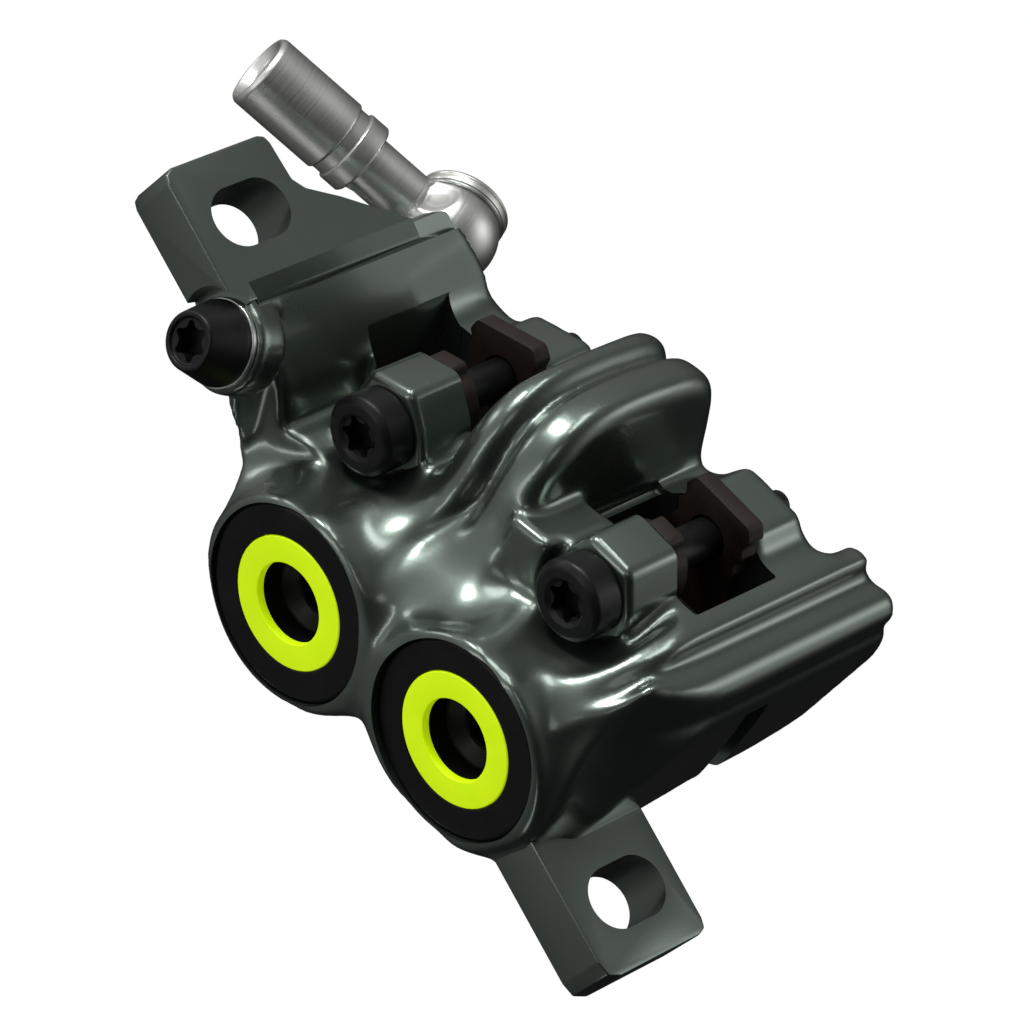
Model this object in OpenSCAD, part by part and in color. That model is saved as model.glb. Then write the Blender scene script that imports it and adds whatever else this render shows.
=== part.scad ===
// Four-piston bicycle disc brake caliper, post mount, with pads, pad screws, bleed screw and banjo fitting.
// All sizes are millimetres. Origin: centre of the slot pair on the mounting plane.
// +X runs along the slot line to the lower ear, +Y inboard through the rotor, +Z out along the mounting bolts.

/* [Mount] */
// Distance between the two mounting slots
mount_spacing = 74.2; // [72:0.1:76]
// Width of a mounting slot for an M6 bolt
slot_w = 6.3; // [6.1:0.1:6.8]
// Length of a mounting slot across the caliper
slot_len = 9.4; // [8:0.1:11]
// Thickness of the mounting ears
ear_t = 6.2; // [5:0.1:8]
// Distance from the slot centre to the outer end of an ear
ear_end = 6.8; // [6:0.1:9]
// Outboard edge of the ears, measured from the slot line
ear_out = 7.4; // [6.5:0.1:9]
// Inboard edge of the ears, measured from the slot line
ear_in = 6.4; // [6:0.1:9]
// Distance from the centre of the slot pair to the block beside the upper ear
block_x = 30.6; // [30.2:0.1:31]
// Distance from the centre of the slot pair to the end of the raised root of the lower ear
wall_x = 30.5; // [30:0.1:31]
// Distance from the centre of the slot pair to the inner edges of the two machined faces
face_in = 31.9; // [31:0.1:32.4]
// Step between the machined faces and the forged roots of the ears
face_step = 0.4; // [0.3:0.1:0.8]

/* [Body] */
// Tilt of the cylinder frame against the mounting plane in degrees
body_tilt = 31; // [29:0.5:33]
// Shift of the cylinder frame along the slot line
body_shift = 7; // [6:0.1:8]
// Distance of the cylinder frame under the mounting plane
body_drop = 1.5; // [0.5:0.1:2.5]
// Depth from the rotor plane to the outboard rims
out_depth = 23.9; // [23.4:0.1:26]
// Depth from the rotor plane to the inboard barrel ends
in_depth = 18.5; // [18:0.1:21]
// Offset of the rotor plane from the slot line
rotor_y = 15.5; // [15:0.1:16]
// Outer radius of a cylinder barrel
barrel_r = 11; // [10.9:0.1:11.5]
// Height of the window rims over the piston axes
rim_h = 15.2; // [14.6:0.1:16]
// Height of the centre arch over the piston axes
arch_h = 25.5; // [24:0.1:27]
// Half width of the centre arch
arch_half = 5.9; // [5.2:0.1:6.3]

/* [Rotor] */
// Outer radius of the brake rotor
rotor_r = 80; // [79.5:0.5:80.5]
// Clearance around the rotor edge inside the slot
rotor_gap = 1.5; // [1:0.1:2.5]
// Width of the rotor slot in the body
slot_gap = 3.2; // [3:0.1:4]
// Radius from the wheel axis to the piston axes
pad_radius = 71; // [70.5:0.5:71.5]

/* [Cylinders] */
// Distance between neighbouring piston axes
piston_pitch = 23.2; // [22.8:0.1:23.6]
// Piston diameter
piston_d = 17; // [16.5:0.1:17.2]
// Piston length
piston_len = 9; // [8.5:0.1:9.5]
// Running clearance of every sliding or turning fit, on the radius
fit = 0.05; // [0.03:0.01:0.08]
// Radius of the bore caps
cap_r = 10.2; // [10:0.05:10.3]
// Length of the bore caps
cap_len = 6; // [5.5:0.1:6.4]
// Step of the cap face behind the body rim
cap_step = 0.2; // [0.1:0.05:0.5]
// Outer radius of the coloured ring in a cap
ring_r = 6.9; // [6.5:0.1:7.4]
// Inner radius of the coloured ring in a cap
ring_hole_r = 4.2; // [3.8:0.1:4.8]
// Thickness of the coloured ring
ring_t = 0.9; // [0.6:0.1:1.4]
// Width of the square piston seals
seal_w = 2; // [1.6:0.1:2.4]
// Radial width of the cap seals
cap_seal_w = 1.55; // [1.3:0.05:1.7]
// Thickness of the cap seals along the bore
cap_seal_t = 1.6; // [1.3:0.1:1.8]
// Radial thickness of the square piston seals
seal_t = 1.3; // [1.1:0.1:1.5]
// Radius of the magnets in the pistons
magnet_r = 4.4; // [4:0.1:5]
// Thickness of the magnets in the pistons
magnet_t = 1.8; // [1.4:0.1:2.4]

/* [Pads] */
// Width of a pad
pad_w = 14.8; // [14.4:0.1:15]
// Clearance of the pads in the pocket, per side
pad_gap = 0.2; // [0.15:0.05:0.3]
// Thickness of the backing plates
plate_t = 2; // [1.8:0.1:2.1]
// Thickness of the friction linings
lining_t = 2.3; // [2:0.1:2.4]
// Height of the linings over the piston axes
lining_top = 7.8; // [7.2:0.1:8]
// Depth of the pads under the piston axes
pad_bottom = 7.4; // [7:0.1:8]
// Height of the hangers over the piston axes
hanger_top = 20.6; // [20:0.1:21.2]
// Half width of the hangers
hanger_half = 4.45; // [4.2:0.05:4.8]

/* [Pad screws] */
// Fan angle of a pad against its neighbour's mid plane in degrees
pad_fan = 9.4; // [9:0.1:10]
// Distance of the screw axis from the piston axis
screw_rise = 15.8; // [15.6:0.1:16]
// Radius of the screw shank
screw_r = 2; // [1.8:0.05:2.2]
// Radius of the screw head at its seat
head_r = 4.15; // [3.9:0.05:4.3]
// Length of the screw head
head_len = 3.75; // [3.4:0.05:4.2]
// Radius of the dog tip
tip_r = 1.4; // [1.2:0.05:1.6]
// Length of the dog tip past the inboard lug
tip_out = 1.9; // [1.4:0.1:2.6]
// Front face of the outboard lugs
lug_front = 3; // [2.6:0.1:3.4]
// Thickness of the outboard lugs
lug_t = 6; // [5.4:0.1:6.4]
// Inboard face of the inboard lugs
lug_back = 28; // [27:0.1:29]

/* [End bar] */
// Outer edge of the end bar from the cylinder frame
bar_x = 28.2; // [27.6:0.1:28.8]
// Height of the end bar over the piston axes
bar_h = 14.2; // [13.6:0.1:14.8]
// Inboard end of the end bar
bar_in = 33.3; // [33:0.1:34]

/* [Bleed screw] */
// Position of the bleed screw seat along the cylinder frame
bleed_x = -27.6; // [-28:0.1:-27.2]
// Distance from the outboard rims to the centre of the bleed screw
bleed_in = 1.1; // [0.8:0.1:1.6]
// Height of the bleed screw seat
bleed_z = 20.3; // [19.9:0.1:20.7]
// Lift of the bleed screw axis in degrees
bleed_lift = 20; // [18:0.5:22]
// Radius of the bleed screw flange
bleed_r = 4.45; // [4.2:0.05:4.6]
// Radius of the narrow end of the bleed screw head
bleed_top_r = 2.9; // [2.6:0.1:3.2]
// Radius of the bleed screw shank
bleed_shank_r = 2.5; // [2.3:0.1:2.7]
// Depth of the bleed screw shank in the body
bleed_depth = 6.2; // [5.8:0.1:6.4]
// Length of the bleed screw head
bleed_len = 5; // [4.6:0.1:5.6]

/* [Banjo fitting] */
// Centre of the banjo eye along the cylinder frame
banjo_x = -31.5; // [-31.8:0.1:-31.2]
// Inboard position of the banjo eye
banjo_y = 27.8; // [27.5:0.1:28.3]
// Height of the banjo eye
banjo_z = 18.6; // [18.3:0.1:19]
// Turn of the banjo bolt axis in degrees
banjo_turn = 23.6; // [22:0.2:25]
// Lift of the banjo bolt axis in degrees
banjo_lift = 16.8; // [15:0.2:18]
// Angle of the stem around the banjo bolt in degrees
banjo_clock = 30.4; // [28:0.2:33]
// Radius of the banjo eye
eye_r = 5.2; // [5:0.1:5.4]
// Height of the eye over its centre towards the bolt head
eye_up = 2.6; // [2.2:0.1:3]
// Height of the eye under its centre
eye_down = 3.6; // [3.2:0.1:3.8]
// Thickness of the sealing washers
washer_t = 0.6; // [0.4:0.1:0.8]
// Radius of the banjo bolt flange
bolt_head_r = 4.85; // [4.6:0.05:5.1]
// Radius of the banjo bolt shank
bolt_r = 2.95; // [2.8:0.05:3]
// Distance from the eye centre to the open end of the sleeve
stem_len = 25.4; // [24:0.1:27]
// Radius of the stem
stem_r = 2.95; // [2.7:0.05:3.1]
// Radius of the hose sleeve
sleeve_r = 4; // [3.8:0.05:4.2]
// Length of the hose sleeve
sleeve_len = 10.5; // [9.5:0.1:12]
// Radius of the open bore of the sleeve for the hose
hose_r = 2.55; // [2.4:0.05:2.75]
// Depth of the open mouth of the sleeve in front of the insert
mouth_len = 6.5; // [6:0.1:7]
// Outer radius of the barbs of the insert
insert_r = 1.6; // [1.4:0.05:1.7]
// Length of the collar between the stem and the sleeve
collar_len = 2.3; // [2:0.1:2.6]
// Length of the narrow neck between the collar and the sleeve
neck_len = 1.3; // [1:0.1:1.5]

/* [Hidden] */
$fn = 64;
rim_y = rotor_y - out_depth;
cap_y = rim_y + cap_step;
cap_in_y = cap_y + cap_len;
in_y = rotor_y + in_depth;
plate_gap = slot_gap / 2 - 0.4;
lining_y = plate_gap;
plate_y = lining_y + lining_t;
piston_y = plate_y + plate_t;
pocket_y = piston_y + 0.1;
pocket_half = pad_w / 2 + pad_gap;
bore_r = piston_d / 2 + fit;
bore_depth = piston_y + piston_len + 1.6;
seal_y = piston_y + 3.2;
half_pitch = piston_pitch / 2;
ring_y = cap_y - 0.02;
lug_in = lug_front + lug_t;
screw_back = lug_front - 0.05;
tip_y = lug_back + tip_out;
ear_x = mount_spacing / 2;
slot_half = (slot_len - slot_w) / 2;
hub_z = -pad_radius;
bleed_y = rim_y + bleed_in;
collar_z = stem_len - sleeve_len - neck_len - collar_len;
seat_r = hose_r - 0.35;
insert_len = sleeve_len - mouth_len - 0.3;

// Frames: the cylinder frame, one fan frame for each pad pair, the bleed screw and the banjo bolt.
module tilted() {
  translate([body_shift, 0, -body_drop]) rotate([0, -body_tilt, 0]) children();
}
module fan(s) {
  tilted() translate([s * half_pitch, 0, 0]) rotate([0, s * pad_fan, 0]) children();
}
module bleed_frame() {
  tilted() translate([bleed_x, bleed_y, bleed_z]) rotate([-bleed_lift, 0, -5]) children();
}
module banjo_frame() {
  tilted() translate([banjo_x, banjo_y, banjo_z]) rotate([banjo_lift, 0, banjo_turn]) children();
}
module stem_frame() {
  banjo_frame() rotate([0, banjo_clock, 0]) rotate([0, 90, 0]) rotate([180, 0, 0]) children();
}

// A round bar along Y from a to b, and slabs that extrude a drawing along Y or along X.
module bar_y(r, a, b) {
  translate([0, b, 0]) rotate([90, 0, 0]) cylinder(r = r, h = b - a);
}
module cone_y(r_a, r_b, a, b) {
  translate([0, a, 0]) rotate([-90, 0, 0]) cylinder(r1 = r_a, r2 = r_b, h = b - a);
}
module tube_y(r_in, r_out, a, b) {
  difference() {
    bar_y(r_out, a, b);
    bar_y(r_in, a - 1, b + 1);
  }
}
module slab_y(a, b) {
  translate([0, b, 0]) rotate([90, 0, 0]) linear_extrude(b - a) children();
}
module slab_x(a, b) {
  translate([a, 0, 0]) rotate([90, 0, 90]) linear_extrude(b - a) children();
}
module rod(p, q, r) {
  d = q - p;
  l = norm(d);
  translate(p) rotate([0, acos(d[2] / l), atan2(d[1], d[0])]) cylinder(r = r, h = l);
}
module mirror_y(on) {
  if (on) {
    translate([0, 2 * rotor_y, 0]) mirror([0, 1, 0]) children();
  } else {
    children();
  }
}

// Forged body: barrels, web, shoulders, centre arch, end bar, lugs, banjo block and the two mounting ears.
module barrels() {
  for (s = [-1, 1]) {
    translate([s * half_pitch, 0, 0]) {
      cone_y(barrel_r - 0.5, barrel_r, rim_y, rim_y + 0.5);
      bar_y(barrel_r, rim_y + 0.5, in_y - 1.5);
      cone_y(barrel_r, barrel_r - 2.2, in_y - 1.5, in_y);
    }
  }
}
module web() {
  slab_y(rim_y + 0.6, 12)
    polygon([[-7, -8.2], [-4.2, -8], [-1.4, -5.9], [1.4, -5.9], [4.2, -8], [7, -8.2], [7, 6.5],
      [2.5, 3], [-2.5, 3], [-7, 6.5]]);
  slab_y(11, in_y - 2)
    polygon([[-8, -8], [8, -8], [8, 9], [-8, 9]]);
}
module shoulders() {
  intersection() {
    slab_y(rim_y + 1, in_y - 0.5)
      polygon([[-21.6, -3], [-11.6, -9], [-7, -8.2], [-3, -6.2], [3, -6.2], [7, -8.2], [11.6, -9],
        [17.5, -9],
        [21.4, -6.4], [23.8, -3.6], [24.5, 8], [22.4, rim_h - 1],
        [20.5, rim_h], [-21.8, rim_h], [-24.4, rim_h + 1.7], [-27, rim_h + 1], [-26.4, 8], [-22.2, 4]]);
    slab_x(-40, 40)
      polygon([[rim_y + 1, -8], [rim_y + 3.4, 7.5], [-1.5, 9.6], [3, 11.6], [6, 13.4],
        [9, rim_h + 0.3], [27.2, rim_h + 1.6],
        [29.5, 11.5], [in_y - 0.6, 6], [in_y - 0.6, -8], [rotor_y, -20]]);
  }
}
module ridge(a, b, rise, front) {
  slab_x(a, b)
    polygon([[front + 1.2, 0], [front + 0.4, 8.6], [front - 0.3, 13.2], [front - 0.2, 17],
      [front + 0.2, 20.4],
      [front + 1.4, 23.2 + rise], [front + 3.4, 25 + rise], [front + 6.4, 25.8 + rise],
      [13.5, arch_h + 0.9 + rise],
      [20, arch_h + 0.6 + rise], [25.4, arch_h - 0.1 + rise], [27.6, arch_h - 2 + rise], [28.8, 19],
      [29.6, 8], [29.6, 0]]);
}
module centre_arch() {
  intersection() {
    slab_y(-3, 31)
      polygon([[-8.4, 0], [-8, 12], [-7, 16.5], [-arch_half - 0.2, 21], [-arch_half + 0.4, 24.6],
        [-3.6, arch_h + 1.6],
        [4.6, arch_h + 1.6], [arch_half + 0.1, 24], [arch_half + 0.6, 19], [7.2, 14], [8.4, 0]]);
    union() {
      ridge(-4.3, -1, 0.3, -0.3);
      ridge(1.5, 4.9, 0.3, 0);
      ridge(-9, 9, -0.9, 2.4);
    }
  }
}
module end_bar() {
  intersection() {
    slab_y(-5, bar_in)
      polygon([[12, -10.2], [20.9, -10.8], [24.1, -5.5], [bar_x - 0.2, 6.8], [bar_x, bar_h - 2.6],
        [bar_x - 0.9, bar_h - 2],
        [26.2, bar_h - 2.1], [25, bar_h - 1.6], [24, bar_h - 0.3], [23, bar_h], [22, bar_h - 0.4],
        [20.6, bar_h - 2.2],
        [14, 6]]);
    translate([0, 0, -20]) linear_extrude(60)
      polygon([[8, -4.6], [17, -4.8], [22.5, -4.4], [26, -2.6], [bar_x, 0.6], [bar_x, bar_in - 0.8],
        [bar_x - 0.8, bar_in], [26, bar_in - 0.6], [24.4, bar_in - 1.2], [22.6, bar_in - 2.8],
        [21.4, bar_in - 5.2],
        [8, bar_in - 5.6]]);
    slab_x(-40, 40)
      polygon([[-6, -30], [6.4, -30], [8, -5.2], [20, -4.6], [25, -3.2], [27.6, -2.2], [29, -0.4],
        [32.2, 3.4],
        [bar_in, 5.4], [bar_in, 9.6], [bar_in - 1.2, 13], [bar_in - 1.6, 30],
        [-6, 30]]);
  }
}
module lugs() {
  for (s = [-1, 1]) {
    fan_in(s) {
      slab_y(lug_front, lug_in)
        polygon([[-6.8, 8], [-6.6, 15.4], [-5.4, 17.2], [-4.2, 18.8], [-2.9, screw_rise + 5.1],
          [-1.9, screw_rise + 5.5],
          [1.9, screw_rise + 5.5], [2.9, screw_rise + 5.1], [4.2, 18.8], [5.4, 17.2], [6.6, 15.4],
          [6.8, 8]]);
      slab_y(pocket_y_in(), lug_back)
        polygon([[-7.2, 8], [-6, 14.6], [-4.8, 16.8], [-3.6, screw_rise + 2.7],
          [3.6, screw_rise + 2.7], [4.8, 16.8],
          [6, 14.6], [7.2, 8]]);
    }
  }
}
module fan_in(s) {
  translate([s * half_pitch, 0, 0]) rotate([0, s * pad_fan, 0]) children();
}
function pocket_y_in() = rotor_y + pocket_y;

// The block between the upper ear and the barrels. It carries the bleed screw and the banjo fitting.
module banjo_block() {
  intersection() {
    slab_y(rim_y + 1.6, 30)
      polygon([[-31.6, 21.2], [-28.4, 17.4], [-25.2, 15], [-22.5, 10.1], [-21.7, 8.8], [-21.2, 3],
        [-12, 2], [-12, 9],
        [-19, 11.5], [-22.6, rim_h - 0.6], [-24.4, rim_h + 1.7], [-28.1, 25.8], [-29.5, 25]]);
    translate([0, 0, -20]) linear_extrude(60)
      polygon([[-40, rim_y + 1.6], [-23, rim_y + 1.6], [-19, -3], [-12, 2], [-12, 27], [-24.4, 27.6],
        [-26.3, 25.4], [-30, 20],
        [-40, 20]]);
  }
  slab_y(-1, 26)
    polygon([[-28.4, 17.4], [-28.4, 11], [-26.8, 4], [-22, -3], [-20, 4], [-22, 12], [-25.2, 15]]);
}
module ears() {
  difference() {
    ear_plates();
    translate([-face_in, -3 * ear_in, -1]) cube([2 * face_in, 6 * ear_in, face_step + 1]);
  }
}
module ear_plates() {
  linear_extrude(ear_t) {
    polygon([[-block_x + 1.2, -4.6], [-block_x - 1.4, -ear_out], [-ear_x - 4, -ear_out],
      [-ear_x - ear_end, -ear_out + 2.9],
      [-ear_x - ear_end, ear_in - 2.8], [-ear_x - ear_end + 2.6, ear_in - 0.2],
      [-ear_x - 1.9, ear_in - 0.2],
      [-ear_x - 0.4, ear_in + 0.7], [-ear_x + 1.4, ear_in + 3.3], [-block_x + 0.2, ear_in + 10.9],
      [-block_x + 1.8, ear_in + 10.9]]);
    polygon([[wall_x - 2, -ear_out], [ear_x + 4.2, -ear_out], [ear_x + ear_end, -ear_out + 2.5],
      [ear_x + ear_end, ear_in - 2], [ear_x + 4.7, ear_in + 0.3], [wall_x - 2, ear_in + 0.3]]);
  }
  translate([wall_x - 11, -ear_out + 0.2, 0]) cube([11, ear_out + ear_in, ear_t + 0.4]);
}
module bosses() {
  bleed_frame_in() bar_y(5, 0, 7.5);
  intersection() {
    banjo_frame_in() bar_y(5.6, -eye_down - washer_t - 7.5, -eye_down - washer_t);
    slab_y(8, 34) polygon([[-45, 27], [-28.7, 27], [-24.4, rim_h + 1.7], [-24.4, 0], [-45, 0]]);
  }
}
module bleed_frame_in() {
  translate([bleed_x, bleed_y, bleed_z]) rotate([-bleed_lift, 0, -5]) children();
}
module banjo_frame_in() {
  translate([banjo_x, banjo_y, banjo_z]) rotate([banjo_lift, 0, banjo_turn]) children();
}

// Machined features, cut after the forging is complete.
module cylinder_bores() {
  for (s = [-1, 1]) {
    translate([s * half_pitch, 0, 0]) {
      bar_y(cap_r + fit, rim_y - 1, cap_in_y);
      bar_y(bore_r, cap_in_y - 0.1, rotor_y);
      bar_y(bore_r, rotor_y, rotor_y + bore_depth);
      bar_y(piston_d / 2 + seal_t + fit, rotor_y - seal_y - seal_w - fit, rotor_y - seal_y + fit);
      bar_y(piston_d / 2 + seal_t + fit, rotor_y + seal_y - fit, rotor_y + seal_y + seal_w + fit);
    }
  }
}
module pad_pockets() {
  for (s = [-1, 1]) {
    fan_in(s)
      slab_y(rotor_y - pocket_y - 0.15, rotor_y + pocket_y + 0.15)
        polygon([[-pocket_half, -30], [pocket_half, -30], [pocket_half, 40], [-pocket_half, 40]]);
  }
  slab_y(rotor_y - pocket_y, rotor_y + pocket_y)
    polygon([[-20, 3], [-23.2, 4], [-24.4, 8], [-24.4, 40], [-16, 40], [-16, 3]]);
}
module rotor_cut() {
  translate([0, 0, hub_z]) bar_y(rotor_r + rotor_gap, rotor_y - slot_gap / 2, rotor_y + slot_gap / 2);
}
module lug_holes() {
  for (s = [-1, 1]) {
    fan_in(s) translate([0, 0, screw_rise]) {
      bar_y(screw_r + 0.15, lug_front - 1, rotor_y);
      bar_y(screw_r + fit, rotor_y, lug_back + 1);
      bar_y(head_r + 0.25, lug_front - 10, lug_front);
    }
  }
}
module fitting_holes() {
  bleed_frame_in() {
    bar_y(bleed_r + 0.5, -8, 0);
    bar_y(bleed_shank_r + fit, -1, bleed_depth + 0.8);
  }
  banjo_frame_in() {
    bar_y(bolt_head_r + 0.2, -eye_down - washer_t, -eye_down + 1);
    sphere(r = eye_r + 0.3);
    bar_y(bolt_r + fit, -eye_down - washer_t - 6.4, 0);
  }
}
module passages() {
  rod([-half_pitch, cap_in_y + 1.4, 0], [half_pitch, cap_in_y + 1.4, 0], 1.2);
  rod([-half_pitch, in_y - 4, 0], [half_pitch, in_y - 4, 0], 1.2);
  rod([bleed_x + 0.8, bleed_y + 5.7, bleed_z - 2.9], [-half_pitch - 1, cap_in_y + 1.4, 1], 1.1);
  rod([-27.6, 20.4, 15.4], [-half_pitch - 2, in_y - 3.2, 2], 1.1);
  rod([bleed_x + 0.7, bleed_y + 5.8, bleed_z - 2.7], [-26.4, 19.5, 15.4], 1.1);
}
module mount_slots() {
  for (s = [-1, 1]) {
    translate([s * ear_x, 0, -3 * ear_t]) {
      for (t = [-slot_half, slot_half]) {
        translate([0, t, 0]) cylinder(r = slot_w / 2, h = 9 * ear_t);
      }
      translate([-slot_w / 2, -slot_half, 0]) cube([slot_w, 2 * slot_half, 9 * ear_t]);
    }
  }
}
module caliper_body() {
  color([0.16, 0.18, 0.17])
  difference() {
    union() {
      tilted() {
        barrels();
        web();
        shoulders();
        centre_arch();
        end_bar();
        lugs();
        banjo_block();
        bosses();
      }
      ears();
    }
    mount_slots();
    tilted() {
      cylinder_bores();
      pad_pockets();
      rotor_cut();
      lug_holes();
      fitting_holes();
      passages();
    }
  }
}

// Bore caps, their coloured rings and their seals.
module bore_cap(s) {
  color([0.03, 0.03, 0.03])
  tilted() translate([s * half_pitch, 0, 0]) difference() {
    union() {
      bar_y(cap_r, cap_y, cap_in_y - cap_seal_t - 0.2);
      bar_y(cap_r - cap_seal_w - fit, cap_in_y - cap_seal_t - 0.3, cap_in_y);
    }
    bar_y(ring_r + fit, cap_y - 1, cap_y + ring_t);
    bar_y(ring_hole_r, cap_y - 1, cap_y + 3.4);
    cone_y(ring_hole_r, 2, cap_y + 3.39, cap_y + 4.2);
  }
}
module bore_cap_upper() {
  bore_cap(-1);
}
module bore_cap_lower() {
  bore_cap(1);
}
module cap_ring(s) {
  color([0.87, 1, 0])
  tilted() translate([s * half_pitch, 0, 0]) tube_y(ring_hole_r, ring_r, ring_y, cap_y + ring_t);
}
module cap_ring_upper() {
  cap_ring(-1);
}
module cap_ring_lower() {
  cap_ring(1);
}
module cap_seals() {
  color([0.02, 0.02, 0.02])
  for (s = [-1, 1]) {
    tilted() translate([s * half_pitch, 0, 0])
      tube_y(cap_r - cap_seal_w, cap_r, cap_in_y - cap_seal_t - 0.1, cap_in_y - 0.1);
  }
}

// Pistons open towards the fluid, with a magnet in the face that holds the pad.
module piston(s, inner) {
  color([0.55, 0.55, 0.53])
  tilted() mirror_y(inner) translate([s * half_pitch, rotor_y, 0]) difference() {
    union() {
      cone_y(piston_d / 2, piston_d / 2 - 0.4, -piston_y - 0.5, -piston_y - 0.02);
      bar_y(piston_d / 2, -piston_y - piston_len + 0.6, -piston_y - 0.5);
      cone_y(piston_d / 2 - 0.6, piston_d / 2, -piston_y - piston_len, -piston_y - piston_len + 0.6);
    }
    bar_y(piston_d / 2 - 2.4, -piston_y - piston_len - 1, -piston_y - 3.4);
    bar_y(magnet_r + fit, -piston_y - magnet_t - fit, -piston_y + 1);
  }
}
module piston_out_upper() {
  piston(-1, false);
}
module piston_out_lower() {
  piston(1, false);
}
module piston_in_upper() {
  piston(-1, true);
}
module piston_in_lower() {
  piston(1, true);
}
module magnet(s, inner) {
  color([0.7, 0.7, 0.72])
  tilted() mirror_y(inner) translate([s * half_pitch, rotor_y, 0])
    bar_y(magnet_r, -piston_y - magnet_t, -piston_y - 0.03);
}
module magnet_out_upper() {
  magnet(-1, false);
}
module magnet_out_lower() {
  magnet(1, false);
}
module magnet_in_upper() {
  magnet(-1, true);
}
module magnet_in_lower() {
  magnet(1, true);
}
module piston_seals() {
  color([0.05, 0.05, 0.05])
  for (s = [-1, 1]) {
    tilted() translate([s * half_pitch, rotor_y, 0]) {
      tube_y(piston_d / 2 + 0.03, piston_d / 2 + seal_t, -seal_y - seal_w, -seal_y);
      tube_y(piston_d / 2 + 0.03, piston_d / 2 + seal_t, seal_y, seal_y + seal_w);
    }
  }
}

// Pads: a backing plate with a scalloped hanger and a friction lining.
module plate_outline() {
  half = pad_w / 2;
  polygon([[-half + 1.6, -pad_bottom], [half - 1.6, -pad_bottom], [half, -pad_bottom + 2],
    [half, lining_top],
    [half - 2.2, lining_top + 2.4], [hanger_half - 0.4, 12.4], [hanger_half - 0.45, 14.2],
    [hanger_half + 0.05, 15.9],
    [hanger_half - 0.3, 17.2], [hanger_half - 0.1, 18.6], [hanger_half, 19.6],
    [hanger_half - 0.8, hanger_top],
    [-hanger_half + 0.8, hanger_top], [-hanger_half, 19.6], [-hanger_half + 0.1, 18.6],
    [-hanger_half + 0.3, 17.2],
    [-hanger_half - 0.05, 15.9], [-hanger_half + 0.45, 14.2], [-hanger_half + 0.4, 12.4],
    [-half + 2.2, lining_top + 2.4], [-half, lining_top], [-half, -pad_bottom + 2]]);
}
module plate(s, inner) {
  color([0.2, 0.12, 0.1])
  fan(s) mirror_y(inner) difference() {
    slab_y(rotor_y - plate_y - plate_t, rotor_y - plate_y) plate_outline();
    translate([0, 0, screw_rise]) bar_y(screw_r + 0.3, rotor_y - plate_y - plate_t - 1, rotor_y - plate_y + 1);
  }
}
module plate_out_upper() {
  plate(-1, false);
}
module plate_out_lower() {
  plate(1, false);
}
module plate_in_upper() {
  plate(-1, true);
}
module plate_in_lower() {
  plate(1, true);
}
module lining(s, inner) {
  half = pad_w / 2 - 0.4;
  color([0.13, 0.12, 0.11])
  fan(s) mirror_y(inner) slab_y(rotor_y - lining_y - lining_t, rotor_y - lining_y) difference() {
    polygon([[-half + 1.8, -pad_bottom + 0.4], [half - 1.8, -pad_bottom + 0.4],
      [half, -pad_bottom + 2.4],
      [half, lining_top - 2], [half - 2, lining_top], [-half + 2, lining_top], [-half, lining_top - 2],
      [-half, -pad_bottom + 2.4]]);
    translate([-0.5, -pad_bottom - 1]) square([1, 6]);
  }
}
module lining_out_upper() {
  lining(-1, false);
}
module lining_out_lower() {
  lining(1, false);
}
module lining_in_upper() {
  lining(-1, true);
}
module lining_in_lower() {
  lining(1, true);
}

// Pad screws with a six-lobe recess, a shank through both hangers and a dog tip past the inboard lug.
module six_lobe(r, a, b) {
  bar_y(r * 0.78, a - 0.3, b + 0.3);
  for (i = [0 : 5]) {
    rotate([0, 60 * i, 0]) translate([r * 0.78, 0, 0]) bar_y(r * 0.22, a, b);
  }
}
module pad_screw(s) {
  color([0.04, 0.04, 0.04])
  fan(s) translate([0, 0, screw_rise]) difference() {
    union() {
      cone_y(head_r - 0.8, head_r, screw_back - head_len, screw_back - head_len + 0.8);
      bar_y(head_r, screw_back - head_len + 0.8, screw_back);
      bar_y(screw_r, screw_back - 0.1, lug_back + 0.3);
      cone_y(screw_r, tip_r, lug_back + 0.3, lug_back + 0.7);
      bar_y(tip_r, lug_back + 0.6, tip_y - 0.3);
      cone_y(tip_r, tip_r - 0.3, tip_y - 0.3, tip_y);
    }
    six_lobe(2.1, screw_back - head_len - 1, screw_back - head_len + 2);
  }
}
module pad_screw_upper() {
  pad_screw(-1);
}
module pad_screw_lower() {
  pad_screw(1);
}

// Bleed screw and the sealing ring under its flange.
module bleed_screw() {
  color([0.04, 0.04, 0.04])
  bleed_frame() difference() {
    union() {
      cone_y(bleed_top_r, bleed_r - 0.2, -bleed_len, -bleed_len + 4);
      bar_y(bleed_r - 0.2, -bleed_len + 3.99, -0.65);
      bar_y(bleed_shank_r, -0.7, bleed_depth);
    }
    six_lobe(2, -bleed_len - 1, -bleed_len + 2.4);
  }
}
module bleed_seal() {
  color([0.6, 0.62, 0.6])
  bleed_frame() tube_y(bleed_shank_r + fit, bleed_r, -0.62, -0.02);
}

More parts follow.
